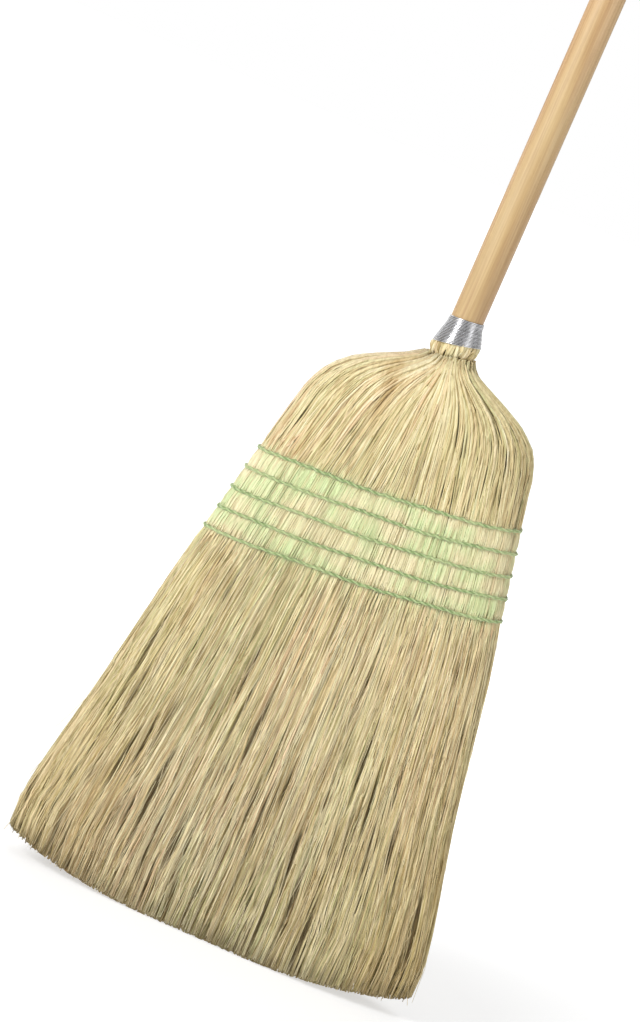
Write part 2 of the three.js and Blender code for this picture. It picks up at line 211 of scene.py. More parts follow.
def tube_map(n, k, sides):
    """A map with one cell for each tube: its wall unrolled, and its two caps above and below it."""
    columns = math.ceil(math.sqrt(n))
    cell = 1.0 / columns
    low, high = 0.12, 0.88  # the wall's part of the cell, from bottom to top
    left, width = 0.06, 0.88
    corner = np.stack([np.arange(n) % columns, np.arange(n) // columns], axis=-1) * cell
    u = left + width * np.arange(sides + 1) / sides
    v = low + (high - low) * np.arange(k) / (k - 1)
    u0, v0 = np.meshgrid(u[:-1], v[:-1])
    u1, v1 = np.meshgrid(u[1:], v[1:])
    wall = np.stack([u0, v0, u1, v0, u1, v1, u0, v1], axis=-1).reshape(-1, 4, 2)
    walls = corner[:, None, None, :] + wall[None] * cell
    angle = np.arange(sides) * 2 * np.pi / sides
    disc = np.stack([0.5 + 0.3 * np.cos(angle), 0.5 * low + 0.4 * low * np.sin(angle)], axis=-1)
    bottom = corner[:, None, :] + disc[::-1][None] * cell
    top = corner[:, None, :] + (disc + [0.0, high])[None] * cell
    return np.concatenate([walls.reshape(-1, 2), bottom.reshape(-1, 2), top.reshape(-1, 2)])


def smoothstep(value, low, high):
    """0 at low, 1 at high, 3 s^2 - 2 s^3 between, with s the share of the way."""
    share = np.clip((value - low) / (high - low), 0.0, 1.0)
    return share * share * (3.0 - 2.0 * share)


print("helpers ready")

# %% [markdown]
# ## The head's outline
# The CAD solids of the straw carry the head's true outline. Cutting them at many heights gives its
# half width and half thickness, and every fibre is laid on that outline. Between the two, a section is
# a superellipse: round at the neck, boxier where the head is sewn flat.

# %% Measure the head
straw_nodes = ["cover_front", "cover_back", "shoulder_left", "shoulder_right"]
straw_nodes += [node + "_ends" for node in straw_nodes]


def node_triangles(node):
    """A CAD node's triangles, as the places of their corners (n, 3, 3)."""
    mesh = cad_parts[node].data
    mesh.calc_loop_triangles()
    places = np.empty(len(mesh.vertices) * 3)
    mesh.vertices.foreach_get("co", places)
    corners = np.empty(len(mesh.loop_triangles) * 3, np.int32)
    mesh.loop_triangles.foreach_get("vertices", corners)
    return places.reshape(-1, 3)[corners].reshape(-1, 3, 3)


triangles = np.concatenate([node_triangles(node) for node in straw_nodes])
edge_starts = triangles.reshape(-1, 3)
edge_ends = np.roll(triangles, -1, axis=1).reshape(-1, 3)


def cut_at(height):
    """Half width and half thickness of the straw at a height: where its edges pass through it."""
    share = (height - edge_starts[:, 2]) / (edge_ends[:, 2] - edge_starts[:, 2] + 1e-12)
    crossing = (share >= 0) & (share <= 1)
    spots = edge_starts + share[:, None] * (edge_ends - edge_starts)
    return np.abs(spots[crossing, :2]).max(axis=0)


NECK_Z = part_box("neck_wire")[0].z  # lower edge of the neck's wire
NECK_SLANT = 0.20  # the wire's lower edge and the collar run uphill towards +X, as the rows of twine do
TRIM_TOP = 0.022  # the corners of the trim are cut off below this
CUTS = 110
STRAW_TOP = NECK_Z + 0.011  # the straw's tapered ends reach up under the wire
cut_heights = np.linspace(TRIM_TOP, STRAW_TOP, CUTS)
cuts = np.array([cut_at(height) for height in cut_heights])
row_boxes = [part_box(f"stitch_row_{number}") for number in range(1, 6)]
ROWS = np.array([(low.z + high.z) / 2 for low, high in row_boxes])
BAND_TOP, BAND_BOTTOM = ROWS[0], ROWS[-1]
TILT = math.tan(math.radians(4.6))
BOW_LEFT, BOW_RIGHT = 0.0015, 0.0048  # how much higher a row's ends are than its slope alone makes them
print("rows at", ROWS.round(4), "trim half width and thickness", cuts[0].round(4))

# %% [markdown]
# The outline as a formula: half width, half thickness and squareness go by height, and every fibre has an
# angle round the head. This head isn't quite symmetrical. Its right shoulder is fuller, and its free
# ends spread a little more, mostly to the right.


# %% Outline
def half_width(z):
    """The straw's half width at a height, on straight lines between the cuts."""
    return np.interp(z, cut_heights, cuts[:, 0])


def half_thickness(z):
    """The straw's half thickness at a height, in the same way."""
    return np.interp(z, cut_heights, cuts[:, 1])


def squareness(z):
    """The superellipse's power at a height: 2 is an ellipse, and more is boxier."""
    return np.interp(z, [BAND_BOTTOM, BAND_TOP, NECK_Z - 0.03, NECK_Z - 0.02], [2.8, 2.7, 2.1, 2.0])


# how much further out the outline lies at the right shoulder and near the trim
SHOULDER_BULGE = 0.0035
SHOULDER_Z = NECK_Z - 0.045
SHOULDER_REACH = 0.022
SPREAD_RIGHT, SPREAD_LEFT = 0.0045, 0.002


def on_outline(angle, z, depth=0.0):
    """Place, flat direction and outward direction on the head's outline, depth below the surface.

    x = w * sign(cos) * |cos|^(2/n) and y = t * sign(sin) * |sin|^(2/n), with w, t and n from the height.
    """
    w, t, n = half_width(z) - depth, half_thickness(z) - depth, squareness(z)
    c, s = np.cos(angle), np.sin(angle)
    w = w + SHOULDER_BULGE * np.clip(c, 0, 1) * np.exp(-(((z - SHOULDER_Z) / SHOULDER_REACH) ** 2))
    w = w + np.where(c > 0, SPREAD_RIGHT, SPREAD_LEFT) * np.abs(c) * (1 - smoothstep(z, 0.06, 0.16))
    x = w * np.sign(c) * np.abs(c) ** (2 / n)
    y = t * np.sign(s) * np.abs(s) ** (2 / n)
    out_x = np.sign(x) * np.abs(x / w) ** (n - 1) / w
    out_y = np.sign(y) * np.abs(y / t) ** (n - 1) / t
    out = unit(np.stack([out_x, out_y, np.zeros_like(out_x)], axis=-1))
    flat = np.stack([-out[..., 1], out[..., 0], out[..., 2]], axis=-1)
    return np.stack([x, y, z + 0 * x], axis=-1), flat, out


def row_height(row_z, x):
    """A row of twine slopes up towards +X and bows up at both ends, as a parabola."""
    bow = np.where(x > 0, BOW_RIGHT, BOW_LEFT)
    return row_z + TILT * x + bow * (x / half_width(row_z)) ** 2


# places at even distances round the trim, as angles: a fibre keeps its angle from neck to trim
fine_angles = np.linspace(0, 2 * np.pi, 4001)
trim_loop = on_outline(fine_angles, np.full(len(fine_angles), TRIM_TOP))[0]
trim_run = np.concatenate([[0], np.cumsum(np.linalg.norm(np.diff(trim_loop, axis=0), axis=1))])
TRIM_ROUND = trim_run[-1]


def angle_at(run):
    """The angle of a place round the trim, given as metres from the right edge."""
    return np.interp(run % TRIM_ROUND, trim_run, fine_angles)


print("round the trim", round(TRIM_ROUND, 3), "m")

# %% [markdown]
# ## How the fibres lie
# Fibres gather into locks with dark grooves between them. A field of four waves round the head, whose
# phases drift with height, pulls each fibre towards the nearest crest and sinks it at the troughs, and
# the fibres in the troughs also get painted shade. Each wave also comes and goes along the head, so a
# groove is a short dark dash and not a line from the twine to the trim. The rows of twine hold the
# fibres still, so the field is weak in the band.

# %% Locks
# each wave's length round the trim, share of the whole, and seed
LOCK_WAVES = [
    (0.0049, 0.32, 0.9),
    (0.0086, 0.36, 1.7),
    (0.0165, 0.30, 3.1),
    (0.0350, 0.18, 4.4),
]


def locks(run, z):
    """(sideways pull, lift from -1 to 1) of a fibre at a place round the head and a height.

    Each wave has phase 2 pi run / length + drift, where drift is a sum of two slow sines of the height,
    and is weighted by a presence between 0 and 1, another sum of two slow sines.
    """
    pull, lift = 0.0, 0.0
    for length, share, seed in LOCK_WAVES:
        drift = 2.4 * np.sin(z * 13.0 + run * 9.0 + seed) + 1.1 * np.sin(z * 37.0 - run * 23.0 + 2 * seed)
        slow = np.sin(z * 43.0 + run * 61.0 + 5 * seed)
        quick = np.sin(z * 91.0 - run * 113.0 + 7 * seed)
        presence = 0.52 + 0.3 * slow + 0.18 * quick
        phase = 2 * np.pi * run / length + drift
        pull = pull - presence * share * length / (2 * np.pi) * 0.9 * np.sin(phase)
        lift = lift + presence * share * np.cos(phase) * 1.25
    return pull, lift


# how strong the field is by height, from the trim to the neck
LOCK_STRENGTHS = [
    (0.0, 2.1),
    (0.12, 1.45),
    (0.21, 0.9),
    (BAND_BOTTOM - 0.012, 0.45),
    (BAND_BOTTOM, 0.08),
    (BAND_TOP, 0.08),
    (BAND_TOP + 0.02, 0.5),
    (NECK_Z - 0.04, 0.28),
    (NECK_Z, 0.0),
]


def lock_strength(z):
    """The field's strength at a height, on straight lines between the listed ones."""
    return np.interp(z, *zip(*LOCK_STRENGTHS))


print("lock waves:", len(LOCK_WAVES), "strength at the trim", lock_strength(0.0))

# %% [markdown]
# Three more things shape a fibre. It wanders a little by itself, the twine pinches it down at each row,
# and it is cut off at the trim, which is level in its middle and rises towards the corners.

# %% Wander, pinch and trim
TRIM_LEVEL = 0.040  # half the trim's level middle
TRIM_RISE = 0.015
PINCH_HEIGHT = 0.0032


def waver(count, size, z):
    """A sideways wander for each fibre: two slow sines and a quick small one, with their own phases."""
    phase = rng.uniform(0, 2 * np.pi, (count, 1, 3))
    pace = rng.uniform([8, 15, 70], [20, 35, 140], (count, 1, 3))
    wave = np.sin(pace * z[..., None] + phase) * [0.5, 0.4, 0.1]
    return size[:, None] * wave.sum(axis=-1)


def trim_height(x):
    """The trim is level in its middle and rises as a parabola to the corners."""
    share = (np.abs(x) - TRIM_LEVEL) / (cuts[0, 0] - TRIM_LEVEL)
    return TRIM_RISE * np.clip(share, 0, 1) ** 2


def pinch(x, z):
    """1 under a row of twine, 0 between rows: a bell curve of height at each row."""
    rows = row_height(ROWS, x[..., None])
    return np.exp(-(((z[..., None] - rows) / PINCH_HEIGHT) ** 2)).sum(axis=-1)


def in_band(x, z):
    """1 between the first and the last row of twine, 0 elsewhere, with soft edges."""
    upper = smoothstep(z - row_height(BAND_TOP, x), 0.003, -0.001)
    lower = smoothstep(z - row_height(BAND_BOTTOM, x), -0.004, 0.001)
    return upper * lower


print("trim rises", TRIM_RISE, "m at the corners")

# %% [markdown]
# `straw` puts it together: places, heights and depths go in, and one piece with a tube for each fibre
# comes out. It also writes the numbers that the material reads: how pale the fibre is, how much painted
# shade it gets for lying deep, in a groove or at the cut, and whether it is in the sewn band. Fibres are
# paler and more mixed towards their tips, and the cut ends get a painted shadow.

# %% Straw from fibres
LOCK_RISE = 0.0005
GROOVE_DEPTH = 0.0017
PINCH_DEPTH = 0.0010
TIPS_PALER = 0.20
TIPS_CONTRAST = 0.8
MIDDLE_TONE = 0.6
# painted shade: straw is painted darker the deeper it lies
DARK_FROM, DARK_OVER = 0.0018, 0.004  # depth where straw starts to darken, and over which it goes dark
# painted shadow along the trim: heights above it between which the cut ends are painted dark
CUT_TOP, CUT_BOTTOM = 0.0027, 0.0008  # heights above the trim between which the cut ends darken


def straw(name, run, heights, depth, radius, taper, tone, wander, lean=0.0):
    """Fibres on the head's outline as one piece.

    run (n) is each fibre's place round the trim, heights (n, k) its points' heights, depth (n, k) how
    far below the outline it lies, radius (n) and taper (k) its thickness, tone (n) its colour, wander
    (n) how far it strays from side to side, and lean how many metres to the side it ends, at random.
    """
    count, steps = heights.shape
    slant = rng.normal(0, 1, count)[:, None] * lean * np.linspace(0, 1, steps)
    strayed = run[:, None] + waver(count, wander, heights) + slant
    pull, lift = locks(strayed, heights)
    strength = lock_strength(heights)
    # the groove share also sets painted shade on the fibres in the troughs, below
    groove = np.clip(strength * smoothstep(-lift, 0.30, 0.85), 0, 1.2)
    place, flat, out = on_outline(angle_at(strayed + pull * np.minimum(strength, 1)), heights, depth)
    raised = LOCK_RISE * lift * strength - GROOVE_DEPTH * groove
    raised = raised - PINCH_DEPTH * pinch(place[..., 0], heights)
    place = place + raised[..., None] * out
    place[..., 2] = np.maximum(place[..., 2], radius[:, None])
    above_trim = heights - trim_height(place[..., 0])
    # painted shadow along the trim: the cut ends are painted dark, more in some places than others
    streaks_and_cut_shade = 0.95 + 0.35 * np.sin(37 * run + 1.0)
    cut_end_shade = smoothstep(above_trim, CUT_TOP, CUT_BOTTOM) * streaks_and_cut_shade[:, None]
    low = 1 - smoothstep(heights, 0.04, 0.22)
    paler = TIPS_PALER * low + TIPS_CONTRAST * low * (tone[:, None] - MIDDLE_TONE)
    # deep carries painted shade: fibres lying deep or in a groove, and the cut ends, go towards the shade
    # colour
    attributes = {
        "tone": np.clip(tone[:, None] + paler, 0, 1),
        "chance": rng.random(count),
        "deep": np.clip((depth - DARK_FROM) / DARK_OVER, 0, 0.8) + 0.8 * groove + cut_end_shade,
        "band": in_band(place[..., 0], heights),
    }
    return tubes(name, place, radius[:, None] * taper, flat, 3, attributes)


# %% [markdown]
# ## Straw material
# Broomcorn dries to a pale yellow with green, pink and brown in it, and each fibre has its own tone.
# The material reads each fibre's own numbers from the mesh: its tone picks a colour from a ramp, a
# second number turns some fibres green or pink, and a third paints shade on those that lie deep, in a
# groove or at the cut. Noise alone could colour the head, but its colours would run across the fibres.
# Here a stretched noise only adds streaks along them, and wide noise adds patches.


# %% Material helpers
def new_material(name):
    """A material with nothing but a Principled shader: the material, its nodes and the shader."""
    material = bpy.data.materials.new(name)
    material.use_nodes = True
    nodes = material.node_tree
    nodes.nodes.clear()
    output = nodes.nodes.new("ShaderNodeOutputMaterial")
    shader = nodes.nodes.new("ShaderNodeBsdfPrincipled")
    nodes.links.new(shader.outputs[0], output.inputs["Surface"])
    return material, nodes, shader


def node(tree, kind, inputs=None, **settings):
    """Adds a node, sets its settings, and fills its inputs with values or links."""
    made = tree.nodes.new("ShaderNode" + kind)
    for key, value in settings.items():
        setattr(made, key, value)
    for key, value in (inputs or {}).items():
        if isinstance(value, bpy.types.NodeSocket):
            tree.links.new(value, made.inputs[key])
        else:
            made.inputs[key].default_value = value
    return made


def ramp(tree, factor, stops):
    """A colour ramp from (position, colour) stops."""
    made = node(tree, "ValToRGB", {"Fac": factor})
    elements = made.color_ramp.elements
    while len(elements) < len(stops):
        elements.new(0.5)
    for element, (position, colour) in zip(elements, stops):
        element.position = position
        element.color = (*colour, 1.0)
    return made.outputs["Color"]


def mix(tree, factor, a, b, blend="MIX"):
    """Colour a turned towards colour b, or multiplied by it, by factor."""
    made = node(tree, "Mix", {0: factor}, data_type="RGBA", blend_type=blend)
    for socket, value in ((made.inputs[6], a), (made.inputs[7], b)):
        if isinstance(value, bpy.types.NodeSocket):
            tree.links.new(value, socket)
        else:
            socket.default_value = (*value, 1.0)
    return made.outputs[2]


def noise(tree, scale, stretch=(1, 1, 1), detail=3.0, roughness=0.55):
    """Noise on the object's own coordinates, stretched by the inverse of stretch."""
    place = node(tree, "TexCoord").outputs["Object"]
    squeezed = node(tree, "Mapping", {"Vector": place, "Scale": stretch}).outputs[0]
    inputs = {"Vector": squeezed, "Scale": scale, "Detail": detail, "Roughness": roughness}
    return node(tree, "TexNoise", inputs).outputs[0]


def limits(tree, value, low, high, to_low=0.0, to_high=1.0):
    """value from low to high made to_low to to_high, and no further."""
    inputs = {"Value": value, "From Min": low, "From Max": high, "To Min": to_low, "To Max": to_high}
    return node(tree, "MapRange", inputs).outputs[0]


def product(tree, a, b):
    """a times b."""
    return node(tree, "Math", {0: a, 1: b}, operation="MULTIPLY").outputs[0]


def read(tree, key):
    """A number that the piece's mesh carries at each point."""
    return node(tree, "Attribute", attribute_name=key).outputs["Fac"]


def bumped(tree, shader, height, strength, distance):
    """Lets a height pattern tilt the surface, as if it were distance metres deep."""
    bump = node(tree, "Bump", {"Height": height, "Strength": strength, "Distance": distance})
    tree.links.new(bump.outputs[0], shader.inputs["Normal"])


print("material helpers ready")

# %% [markdown]
# The straw's colours, from the darkest fibre to the palest, and what is laid over them. The twine's dye
# has run into the sewn band, and the low edges, which rub on the floor and on walls, are worn golden.

# %% Straw material
STRAW_TONES = [
    (0.0, (0.36, 0.265, 0.118)),
    (0.25, (0.555, 0.45, 0.222)),
    (0.6, (0.75, 0.65, 0.367)),
    (1.0, (0.90, 0.825, 0.57)),
]
GREEN_STRAW = (0.53, 0.55, 0.26)
PINK_STRAW = (0.76, 0.52, 0.33)
BROWN_STRAW = (0.50, 0.335, 0.135)
BAND_GREEN = (0.66, 0.78, 0.45)
BAND_CREAM = (0.81, 0.76, 0.51)
# painted shade: the colour that fibres lying deep, in grooves or at the cut are turned towards
GROOVE_SHADE = (0.15, 0.10, 0.038)
WORN_STRAW = (0.69, 0.525, 0.235)
EDGE_WEAR = 0.42
STREAK_BROWN = (0.6, 0.52, 0.4)
CLEAN = (1.0, 1.0, 1.0)  # what multiplies a colour and leaves it as it is


def straw_material(name, brightness=1.0, green=0.5, pink=0.36, brown=0.16):
    """The fibre's tone, and over it green, pink, stains, wear, the band's dye, streaks and painted shade.
    """
    material, tree, shader = new_material(name)
    tone, chance = read(tree, "tone"), read(tree, "chance")
    colour = ramp(tree, tone, [(at, tuple(brightness * v for v in c)) for at, c in STRAW_TONES])
    patches = noise(tree, 14.0, (1, 1, 0.45), detail=2.0)
    green_fibre = limits(tree, chance, 0.0, 0.5, green, 0.0)
    green_patch = limits(tree, patches, 0.42, 0.6, 0.3, 1.8)
    colour = mix(tree, product(tree, green_fibre, green_patch), colour, GREEN_STRAW)
    pink_fibre = limits(tree, chance, 0.5, 1.0, 0.0, pink)
    pink_patch = limits(tree, patches, 0.58, 0.4, 0.3, 1.8)
    colour = mix(tree, product(tree, pink_fibre, pink_patch), colour, PINK_STRAW)
    stained = noise(tree, 22.0, (1, 1, 0.2), detail=4.0, roughness=0.65)
    colour = mix(tree, limits(tree, stained, 0.53, 0.66, 0.0, brown * 2), colour, BROWN_STRAW)
    place = node(tree, "SeparateXYZ", {0: node(tree, "TexCoord").outputs["Object"]})
    sideways = node(tree, "Math", {0: place.outputs["X"]}, operation="ABSOLUTE").outputs[0]
    near_edge = limits(tree, sideways, 0.05, 0.15)
    low_down = limits(tree, place.outputs["Z"], 0.30, 0.10)
    worn = limits(tree, product(tree, near_edge, low_down), 0.0, 1.0, 0.0, EDGE_WEAR)
    colour = mix(tree, worn, colour, WORN_STRAW)
    band = product(tree, read(tree, "band"), limits(tree, chance, 0.6, 1.0, 0.8, 0.4))
    blotch = limits(tree, noise(tree, 34.0, detail=2.0), 0.4, 0.6)
    colour = mix(tree, band, colour, mix(tree, blotch, BAND_CREAM, BAND_GREEN))
    streak = noise(tree, 420.0, (1, 1, 0.05), detail=3.0)
    streaks_and_cut_shade = ramp(tree, streak, [(0.3, STREAK_BROWN), (0.6, CLEAN)])
    colour = mix(tree, 0.6, colour, streaks_and_cut_shade, "MULTIPLY")
    # painted shade: deep fibres, grooves and cut ends go towards the shade colour
    colour = mix(tree, limits(tree, read(tree, "deep"), 0.0, 1.0, 0.0, 0.8), colour, GROOVE_SHADE)
    tree.links.new(colour, shader.inputs["Base Color"])
    tree.links.new(limits(tree, streak, 0.3, 0.7, 0.5, 0.72), shader.inputs["Roughness"])
    shader.inputs["Specular IOR Level"].default_value = 0.3
    bumped(tree, shader, streak, 0.3, 0.0002)
    return material


cover_look = straw_material("broomcorn_fibres")
stalk_look = straw_material("broomcorn_stalks", brightness=0.97, green=0.3, pink=0.36, brown=0.3)
# the core's straw is a darker copy, painted shade for the straw that lies deep in the head
shaded_core_look = straw_material("broomcorn_core_shaded", brightness=0.6)
print("straw materials:", cover_look.name, stalk_look.name, shaded_core_look.name)

# %% [markdown]
# ## The straw itself
# The fibres come in three lengths whose ends are tucked under each other near the rows of twine: from
# the neck over the shoulder, through the sewn band, and the free ends below it. Each length is made for
# the front, the back and the two shoulders apart, as the bunches are tied on.

# %% Sides of the head
EDGE_SHARE = 0.42  # of the angle's sine: fibres with less of it belong to the shoulders
SIDES_OF_HEAD = {
    "cover_front": lambda a: np.sin(a) < -EDGE_SHARE,
    "cover_back": lambda a: np.sin(a) > EDGE_SHARE,
    "shoulder_left": lambda a: (np.abs(np.sin(a)) <= EDGE_SHARE) & (np.cos(a) < 0),
    "shoulder_right": lambda a: (np.abs(np.sin(a)) <= EDGE_SHARE) & (np.cos(a) > 0),
}


def places_on(side, spacing):
    """Places round the trim for one side of the head, about spacing apart, and their angles."""
    run = np.arange(0, TRIM_ROUND, spacing)
    run = run + rng.uniform(-0.9, 0.9, len(run)) * spacing
    run = run[SIDES_OF_HEAD[side](angle_at(run))]
    return run, angle_at(run)


def side_x(angle, z):
    """The outline's x at these angles and one height."""
    return on_outline(angle, np.full(len(angle), z))[0][:, 0]


def spread(top, bottom, steps):
    """Heights from top (n) to bottom (n) at the given shares of the way (k)."""
    return top[:, None] + (bottom - top)[:, None] * steps


def tones(count, middle, spread_by):
    """Random tones round a middle one, from 0, the darkest, to 1, the palest."""
    return np.clip(rng.normal(middle, spread_by, count), 0, 1)


NECK_REACH = 0.017  # the neck's radius at the collar


def neck_slant(angle):
    """How much higher the collar lies at an angle round the neck than in its middle."""
    return NECK_SLANT * NECK_REACH * np.cos(angle)


def tucked(steps, start, end, by=0.0018):
    """Extra depth at both ends of a fibre, so that its ends lie under its neighbours."""
    return by * (1 - smoothstep(steps, 0.0, start) + smoothstep(steps, end, 1.0))


print("sides:", list(SIDES_OF_HEAD))

# %% [markdown]
# Over the shoulders the fibres fan out from the neck. If all of them ran the whole way, they would crowd
# into a lump at the collar and leave gaps below. So few start at the collar, and the rest come up from
# under their neighbours further down. Among them lie the stalks that the fibres branch from, thick and
# pale at the collar and gone before the first row of twine.


# %% Straw over the shoulders
def shoulder_straw(side):
    """Fibres from under the collar over the shoulder to a little below the top row."""
    run, angle = places_on(side, 0.00042)
    count = len(run)
    steps = np.array([0, 0.05, 0.1, 0.16, 0.23, 0.31, 0.4, 0.5, 0.6, 0.7, 0.8, 0.9, 1.0])
    # how far below the neck a fibre first shows, for a random number from 0 to 1
    drops = np.interp(rng.random(count), [0, 0.15, 0.4, 0.7, 1], [0.008, 0.012, 0.026, 0.055, 0.095])
    end = row_height(BAND_TOP, side_x(angle, BAND_TOP)) - rng.uniform(0.002, 0.022, count)
    heights = spread(NECK_Z - drops + neck_slant(angle), end, steps)
    depth = rng.uniform(0.0, 0.0017, count)[:, None] + tucked(steps, 0.25, 0.85, 0.0012)
    taper = np.interp(steps, [0, 0.3, 1], [0.75, 1.1, 0.8])
    wander = rng.uniform(0, 0.004, count)
    radius = rng.uniform(0.0004, 0.00085, count)
    tone = tones(count, 0.62, 0.17)
    return straw(side + "_upper", run, heights, depth, radius, taper, tone, wander, lean=0.005)


def stalks(side):
    """Thick pale stems, widest near the collar, that sink and taper away above the band."""
    run, angle = places_on(side, 0.0052)
    count = len(run)
    steps = np.linspace(0, 1, 13)
    start = NECK_Z - rng.uniform(0.008, 0.012, count) + neck_slant(angle)
    heights = spread(start, rng.uniform(BAND_TOP + 0.004, BAND_TOP + 0.055, count), steps)
    depth = rng.uniform(0.0001, 0.0012, count)[:, None] + 0.0022 * smoothstep(steps, 0.6, 1.0)
    taper = np.interp(steps, [0, 0.25, 0.7, 1], [0.9, 1.0, 0.6, 0.3])
    wander = rng.uniform(0, 0.007, count)
    radius = rng.uniform(0.0010, 0.0017, count)
    tone = tones(count, 0.74, 0.12)
    return straw(side + "_stalks", run, heights, depth, radius, taper, tone, wander, lean=0.012)


print("fibres start", NECK_Z - 0.008, "m up, or lower")

# %% [markdown]
# In the sewn band the twine presses the fibres flat and keeps them side by side, so they wander little.
# They run on for a random way below the lowest row, which hides where the free ends begin.


# %% Straw through the band
def band_straw(side):
    """Fibres through the five rows, held flat, ending at uneven heights below the lowest row."""
    run, angle = places_on(side, 0.00036)
    count = len(run)
    steps = np.linspace(0, 1, 17)
    x_here = side_x(angle, BAND_TOP)
    start = row_height(BAND_TOP, x_here) + rng.uniform(0.003, 0.012, count)
    end = row_height(BAND_BOTTOM, x_here) - 0.003 - rng.exponential(0.012, count)
    heights = spread(start, end, steps)
    depth = rng.uniform(0.0, 0.0012, count)[:, None] + tucked(steps, 0.12, 0.8, 0.0014)
    taper = np.interp(steps, [0, 0.8, 1], [1, 1, 0.6])
    wander = rng.uniform(0, 0.0016, count)
    radius = rng.uniform(0.0004, 0.0007, count)
    return straw(side + "_band", run, heights, depth, radius, taper, tones(count, 0.72, 0.13), wander)


print("band from", BAND_TOP, "to", BAND_BOTTOM)

# %% [markdown]
# Below the band nothing holds the fibres, so they part into locks. Four coats lie over each other:
# straw deep down, given a dark tone as painted shade, the main coat, fine pale fibres that cross it,
# and a few stems. Chips, the short broken pieces that any corn broom has, break up the long lines.

# %% Free ends
# each coat's spacing, least and greatest depth, least and greatest radius, middle tone, wander and lean
COATS = {
    # the deep coat's dark middle tone is painted shade
    "deep": (0.00075, (0.0022, 0.0045), (0.0005, 0.0008), 0.38, 0.004, 0.004),
    "main": (0.00029, (0.0, 0.0019), (0.0003, 0.00062), 0.6, 0.0032, 0.0035),
    "fine": (0.00090, (-0.0006, 0.0006), (0.00024, 0.0004), 0.78, 0.006, 0.009),
    "stems": (0.024, (-0.0004, 0.0006), (0.0005, 0.0009), 1.0, 0.003, 0.005),
}


def free_ends(side, coat):
    """One coat of fibres from under the lowest row to the trim."""
    spacing, depths, radii, tone, wander, lean = COATS[coat]
    run, angle = places_on(side, spacing)
    count = len(run)
    steps = np.linspace(0, 1, 16) ** 0.9
    start = row_height(BAND_BOTTOM, side_x(angle, BAND_BOTTOM)) + rng.uniform(-0.004, 0.006, count)
    end = trim_height(side_x(angle, TRIM_TOP)) + 0.0014 + rng.exponential(0.0010, count)
    short = rng.random(count) < 0.15
    end = np.where(short, end + rng.uniform(0.003, 0.08, count), end)
    heights = spread(start, end, steps)
    depth = rng.uniform(*depths, count)[:, None] + 0.0016 * (1 - smoothstep(steps, 0.02, 0.1))
    taper = np.interp(steps, [0, 0.15, 0.8, 1], [0.9, 1.1, 0.9, 0.75])
    radius = rng.uniform(*radii, count)
    fibre_tones = tones(count, tone, 0.24)
    wanders = rng.uniform(0, wander, count)
    return straw(f"{side}_{coat}", run, heights, depth, radius, taper, fibre_tones, wanders, lean)


def chips(side):
    """Short fine fibres, 10 to 35 mm long, pale or dark, that lie across the others below the band."""
    run, angle = places_on(side, 0.00021)
    count = len(run)
    steps = np.linspace(0, 1, 5)
    start = rng.uniform(0.03, BAND_BOTTOM - 0.008, count)
    lowest = trim_height(side_x(angle, TRIM_TOP)) + 0.0005
    end = np.maximum(start - rng.uniform(0.010, 0.035, count), lowest)
    heights = spread(start, end, steps)
    depth = rng.uniform(-0.0005, 0.0008, count)[:, None] + tucked(steps, 0.3, 0.7, 0.0008)
    radius = rng.uniform(0.00024, 0.00044, count)
    pale = rng.random(count) < 0.62
    tone = np.where(pale, tones(count, 0.95, 0.1), tones(count, 0.15, 0.1))
    taper = np.ones(len(steps))
    wander = rng.uniform(0, 0.002, count)
    return straw(side + "_chips", run, heights, depth, radius, taper, tone, wander, lean=0.0022)


print("coats:", list(COATS))

# %% [markdown]
# Now the straw is laid, side by side, and the CAD parts it replaces are hidden.


# %% Lay the straw
def settle(piece, look, slot, *replaced, bends=True):
    """Gives a piece its look; slot is not used. Bakes its place in, or hangs it on the broom as it is."""
    piece.data.materials.append(look)
    if bends:
        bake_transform(piece)
    else:
        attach(piece, "broom")
    if replaced:
        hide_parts(*replaced)
    print(piece.name, len(piece.data.polygons), "faces")


for side in SIDES_OF_HEAD:
    slot = "cover_straw" if side.startswith("cover") else "shoulder_straw"
    settle(shoulder_straw(side), stalk_look, slot, side)
    settle(stalks(side), stalk_look, slot)
    settle(band_straw(side), cover_look, slot)
    settle(free_ends(side, "deep"), cover_look, slot)
    settle(free_ends(side, "main"), cover_look, slot, side + "_ends")
    settle(free_ends(side, "fine"), cover_look, slot)
    settle(free_ends(side, "stems"), stalk_look, slot)
    settle(chips(side), cover_look, slot)

# %% [markdown]
# ## The core
# Under the fibres that show lies the imported middle of the head. It is one closed, grooved surface a few
# millimetres down, so that a gap between locks shows straw and not daylight; that straw is painted dark
# as shade. Its lower end is filled with cut fibre tips, which show when the free ends bend towards
# the eye.

# %% Core
CORE_DEPTH = 0.0042


def core_body():
    """A closed grid on the outline, CORE_DEPTH down, with the same locks pressed into it."""
    angle = angle_at(np.linspace(0, TRIM_ROUND, 360, endpoint=False))
    angles, heights = np.meshgrid(angle, np.linspace(0.020, NECK_Z - 0.004, 70))
    lift = locks(np.interp(angles, fine_angles, trim_run), heights)[1]
    place, _, out = on_outline(angles, heights, CORE_DEPTH)
    raised = 0.0008 * lift * lock_strength(heights) - 0.0006 * pinch(place[..., 0], heights)
    even = np.ones(heights.size + 2)  # the grid's points and the two middles of its ends
    # painted shade: the core gets a dark tone and a deep value all over
    attributes = {"tone": 0.3 * even, "chance": 0.5 * even, "deep": 0.5 * even}
    return skin("core_bunches", place + raised[..., None] * out, attributes)


